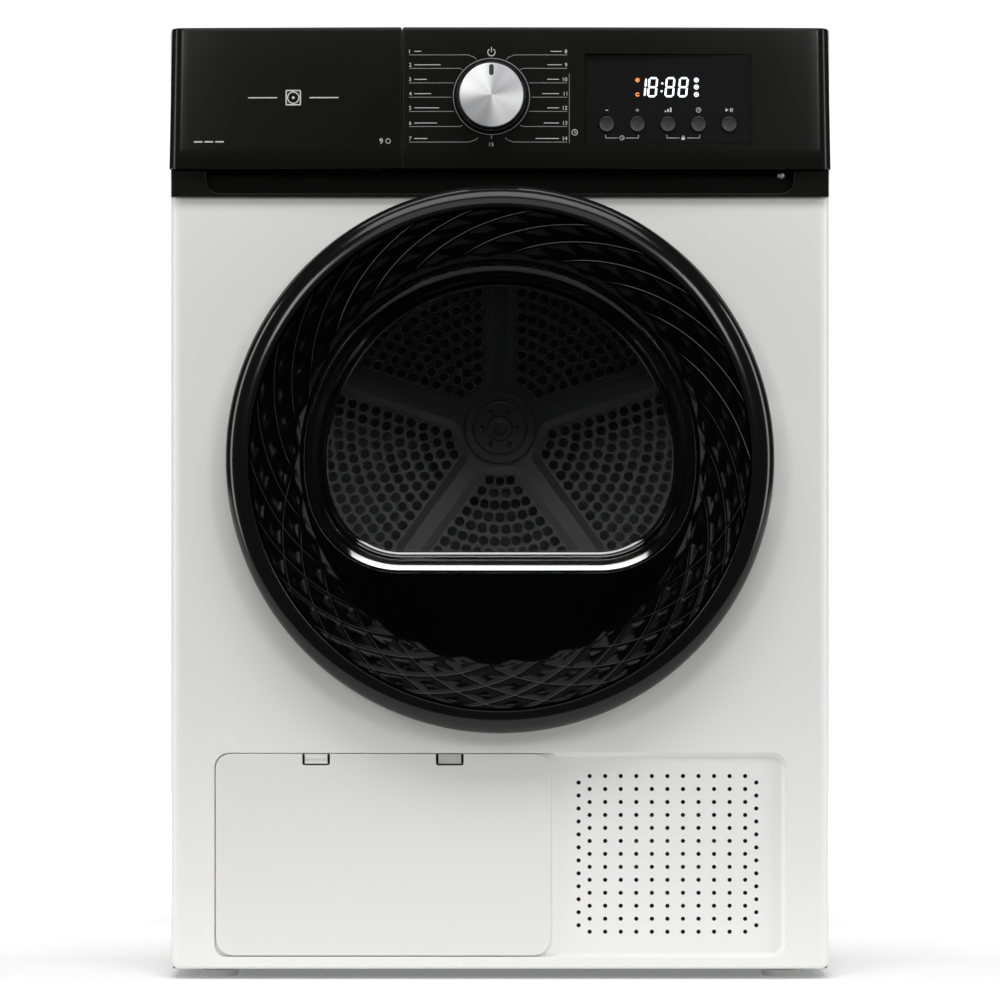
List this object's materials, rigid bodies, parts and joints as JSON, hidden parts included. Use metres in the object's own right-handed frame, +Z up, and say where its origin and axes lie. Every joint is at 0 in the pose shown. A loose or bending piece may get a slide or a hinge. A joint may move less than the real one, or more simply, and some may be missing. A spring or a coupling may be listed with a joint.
{
  "type": "clothes dryer",
  "caption": "free-standing front-loading heat pump clothes dryer, white cabinet, black fascia with knob and display, round black door with clear bowl, service flap and vent holes",
  "frame": {"origin": "centre of the floor footprint, on the floor", "axes": "+Z up, -Y is the front with the door, +X to the right seen from the front"},
  "size_m": [0.598, 0.64, 0.86],
  "materials": {
    "white_enamel": "smooth white enamel",
    "black_plastic": "satin black moulded plastic",
    "gloss_black": "high gloss black",
    "white_plastic": "white moulded plastic",
    "dark_plastic": "dark grey moulded plastic",
    "grey_plastic": "grey moulded plastic",
    "zinc_steel": "zinc plated sheet steel",
    "stainless": "stainless steel",
    "fin_aluminium": "finned aluminium",
    "clear_bowl": "smoked clear moulding",
    "rubber_black": "black rubber",
    "felt": "grey felt",
    "silver_cap": "spun silver",
    "filter_mesh": "fine filter mesh in a frame",
    "board": "circuit board",
    "black_steel": "black painted steel",
    "tank_plastic": "translucent white plastic"
  },
  "bodies": {
    "cabinet": {"base_tray": "grey_plastic", "side_panel_left": "white_enamel", "side_panel_right": "white_enamel", "front_panel": "white_enamel", "rear_panel": "zinc_steel", "rear_duct_cover": "zinc_steel", "top_panel": "white_plastic", "control_fascia": "black_plastic", "lower_trim": "black_plastic", "display_lens": "gloss_black", "control_board": "board", "cross_rails": "zinc_steel", "front_bulkhead": "dark_plastic", "door_seal": "rubber_black", "front_felt_seal": "felt", "rear_air_ring": "grey_plastic", "rear_felt_seal": "felt", "shaft_bearing": "stainless", "lint_filter": "filter_mesh", "drive_motor": "zinc_steel", "compressor": "black_steel", "evaporator": "fin_aluminium", "condenser": "fin_aluminium", "fan_shroud": "dark_plastic", "tank_tray": "grey_plastic", "exchanger_cover": "grey_plastic", "hinge_bracket": "zinc_steel", "cable_gland": "black_plastic", "drive_belt": "rubber_black"},
    "door": {"door_rim": "black_plastic", "door_facet_ring": "gloss_black", "door_bowl": "clear_bowl", "door_inner_frame": "dark_plastic", "door_hinge_arm": "zinc_steel", "door_latch_hook": "grey_plastic"},
    "service_flap": {"service_flap": "white_plastic"},
    "flap_clip_left": {"flap_clip_left": "white_plastic"},
    "flap_clip_right": {"flap_clip_right": "white_plastic"},
    "water_drawer": {"tank_drawer_front": "black_plastic", "water_tank": "tank_plastic"},
    "programme_knob": {"knob_body": "black_plastic", "knob_cap": "silver_cap"},
    "button_1": {"button_1": "dark_plastic"},
    "button_2": {"button_2": "dark_plastic"},
    "button_3": {"button_3": "dark_plastic"},
    "button_4": {"button_4": "dark_plastic"},
    "button_5": {"button_5": "dark_plastic"},
    "drum": {"drum_shell": "stainless", "drum_rear_plate": "stainless", "drum_lifters": "grey_plastic"},
    "motor_pulley": {"motor_pulley": "zinc_steel"},
    "idler_arm": {"idler_arm": "zinc_steel"},
    "idler_pulley": {"idler_pulley": "black_plastic"},
    "drum_roller_left": {"drum_roller_left": "rubber_black"},
    "drum_roller_right": {"drum_roller_right": "rubber_black"},
    "cooling_fan": {"cooling_fan": "grey_plastic"},
    "foot_front_left": {"foot_front_left": "white_plastic"},
    "foot_front_right": {"foot_front_right": "white_plastic"},
    "foot_rear_left": {"foot_rear_left": "white_plastic"},
    "foot_rear_right": {"foot_rear_right": "white_plastic"}
  },
  "joints": [
    {"name": "door_hinge", "type": "hinge", "parent": "cabinet", "child": "door", "pos_m": [0.236, -0.292, 0.4708], "axis": [0, 0, 1], "range_deg": [0, 110]},
    {"name": "flap_hinge", "type": "hinge", "parent": "cabinet", "child": "service_flap", "pos_m": [-0.1058, -0.2723, 0.0233], "axis": [1, 0, 0], "range_deg": [0, 90]},
    {"name": "flap_clip_left_hinge", "type": "hinge", "parent": "service_flap", "child": "flap_clip_left", "pos_m": [-0.16645, -0.2723, 0.1952], "axis": [1, 0, 0], "range_deg": [0, 10], "stiffness_Nm_per_rad": 0.005},
    {"name": "flap_clip_right_hinge", "type": "hinge", "parent": "service_flap", "child": "flap_clip_right", "pos_m": [-0.04545, -0.2723, 0.1952], "axis": [1, 0, 0], "range_deg": [0, 10], "stiffness_Nm_per_rad": 0.005},
    {"name": "drawer_slide", "type": "slide", "parent": "cabinet", "child": "water_drawer", "axis": [0, -1, 0], "range_m": [0, 0.42]},
    {"name": "knob_turn", "type": "hinge", "parent": "cabinet", "child": "programme_knob", "pos_m": [-0.0077, -0.306, 0.7974], "axis": [0, 1, 0], "continuous": true},
    {"name": "button_1_press", "type": "slide", "parent": "cabinet", "child": "button_1", "axis": [0, 1, 0], "range_m": [0, 0.0015], "stiffness_N_per_m": 300},
    {"name": "button_2_press", "type": "slide", "parent": "cabinet", "child": "button_2", "axis": [0, 1, 0], "range_m": [0, 0.0015], "stiffness_N_per_m": 300},
    {"name": "button_3_press", "type": "slide", "parent": "cabinet", "child": "button_3", "axis": [0, 1, 0], "range_m": [0, 0.0015], "stiffness_N_per_m": 300},
    {"name": "button_4_press", "type": "slide", "parent": "cabinet", "child": "button_4", "axis": [0, 1, 0], "range_m": [0, 0.0015], "stiffness_N_per_m": 300},
    {"name": "button_5_press", "type": "slide", "parent": "cabinet", "child": "button_5", "axis": [0, 1, 0], "range_m": [0, 0.0015], "stiffness_N_per_m": 300},
    {"name": "drum_spin", "type": "hinge", "parent": "cabinet", "child": "drum", "pos_m": [0, 0, 0.506], "axis": [0, 1, 0], "continuous": true},
    {"name": "motor_spin", "type": "hinge", "parent": "cabinet", "child": "motor_pulley", "pos_m": [0.19, 0.06, 0.1], "axis": [0, 1, 0], "continuous": true},
    {"name": "idler_arm_pivot", "type": "hinge", "parent": "cabinet", "child": "idler_arm", "pos_m": [0.08205, 0.073, 0.07072], "axis": [0, 1, 0], "range_deg": [0, 12], "stiffness_Nm_per_rad": 2},
    {"name": "idler_spin", "type": "hinge", "parent": "idler_arm", "child": "idler_pulley", "pos_m": [0.12205, 0.06, 0.10072], "axis": [0, 1, 0], "continuous": true},
    {"name": "drum_roller_left_spin", "type": "hinge", "parent": "cabinet", "child": "drum_roller_left", "pos_m": [-0.1723, -0.217, 0.25993], "axis": [0, 1, 0], "continuous": true},
    {"name": "drum_roller_right_spin", "type": "hinge", "parent": "cabinet", "child": "drum_roller_right", "pos_m": [0.1723, -0.217, 0.25993], "axis": [0, 1, 0], "continuous": true},
    {"name": "cooling_fan_spin", "type": "hinge", "parent": "cabinet", "child": "cooling_fan", "pos_m": [0.15165, -0.2518, 0.1134], "axis": [0, 1, 0], "continuous": true},
    {"name": "foot_front_left_thread", "type": "slide", "parent": "cabinet", "child": "foot_front_left", "axis": [0, 0, -1], "range_m": [0, 0.012]},
    {"name": "foot_front_right_thread", "type": "slide", "parent": "cabinet", "child": "foot_front_right", "axis": [0, 0, -1], "range_m": [0, 0.012]},
    {"name": "foot_rear_left_thread", "type": "slide", "parent": "cabinet", "child": "foot_rear_left", "axis": [0, 0, -1], "range_m": [0, 0.012]},
    {"name": "foot_rear_right_thread", "type": "slide", "parent": "cabinet", "child": "foot_rear_right", "axis": [0, 0, -1], "range_m": [0, 0.012]}
  ],
  "couplings": [
    {"joint": "motor_spin", "follows": "drum_spin", "ratio": 19.632},
    {"joint": "idler_spin", "follows": "drum_spin", "ratio": -17.562},
    {"joint": "drum_roller_left_spin", "follows": "drum_spin", "ratio": -12.636},
    {"joint": "drum_roller_right_spin", "follows": "drum_spin", "ratio": -12.636}
  ]
}
